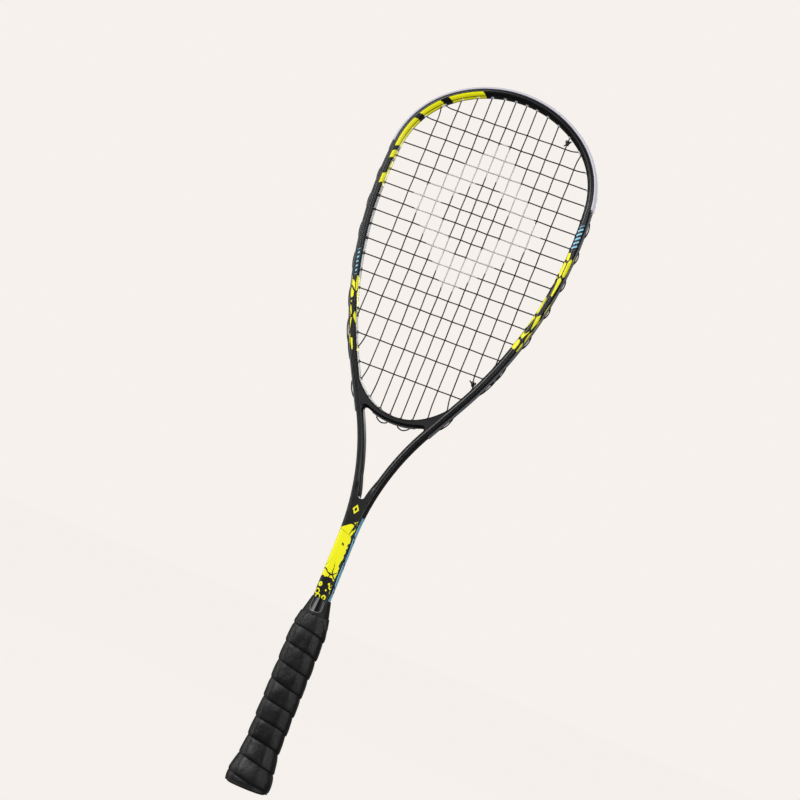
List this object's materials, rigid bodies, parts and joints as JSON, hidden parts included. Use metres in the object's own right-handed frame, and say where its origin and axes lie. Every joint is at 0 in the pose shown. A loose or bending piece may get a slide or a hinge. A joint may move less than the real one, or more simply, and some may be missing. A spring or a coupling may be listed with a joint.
{
  "type": "squash racket",
  "caption": "Open-throat racket with a slim teardrop hoop, crossed strings, a short round-cornered shaft and a spiral-wrapped grip with a flared butt.",
  "frame": {"origin": "middle of the flat end face of the butt", "axes": "+Z along the shaft towards the tip of the hoop, +X across the face to the right, front of the string bed towards -Y"},
  "size_m": [0.2038, 0.037, 0.686],
  "materials": {
    "carbon_lacquer": "satin black lacquer over moulded carbon fibre",
    "bumper_nylon": "translucent moulded nylon",
    "strip_nylon": "translucent moulded nylon",
    "string_nylon": "black multifilament string with a thin coat",
    "handle_foam": "hard moulded polyurethane foam",
    "cap_plastic": "moulded cap with fine texture",
    "badge_plate": "printed domed disc, plain",
    "fixing_steel": "drawn wire",
    "wrap_leather": "black cushioned polyurethane leather, spiral wrapped",
    "tape_vinyl": "thin black vinyl tape",
    "collar_rubber": "soft black rubber"
  },
  "bodies": {
    "root": {"frame_tube": "carbon_lacquer", "throat_bridge": "carbon_lacquer", "bumper_guard": "bumper_nylon", "grommet_strip_left": "strip_nylon", "grommet_strip_right": "strip_nylon", "bridge_grommet_strip": "strip_nylon", "string": "string_nylon", "handle_pallet_front": "handle_foam", "handle_pallet_back": "handle_foam", "butt_cap": "cap_plastic", "butt_cap_staples": "fixing_steel", "butt_badge": "badge_plate", "grip_wrap": "wrap_leather", "grip_tack": "fixing_steel", "finishing_tape": "tape_vinyl", "grip_collar": "collar_rubber"}
  },
  "joints": []
}
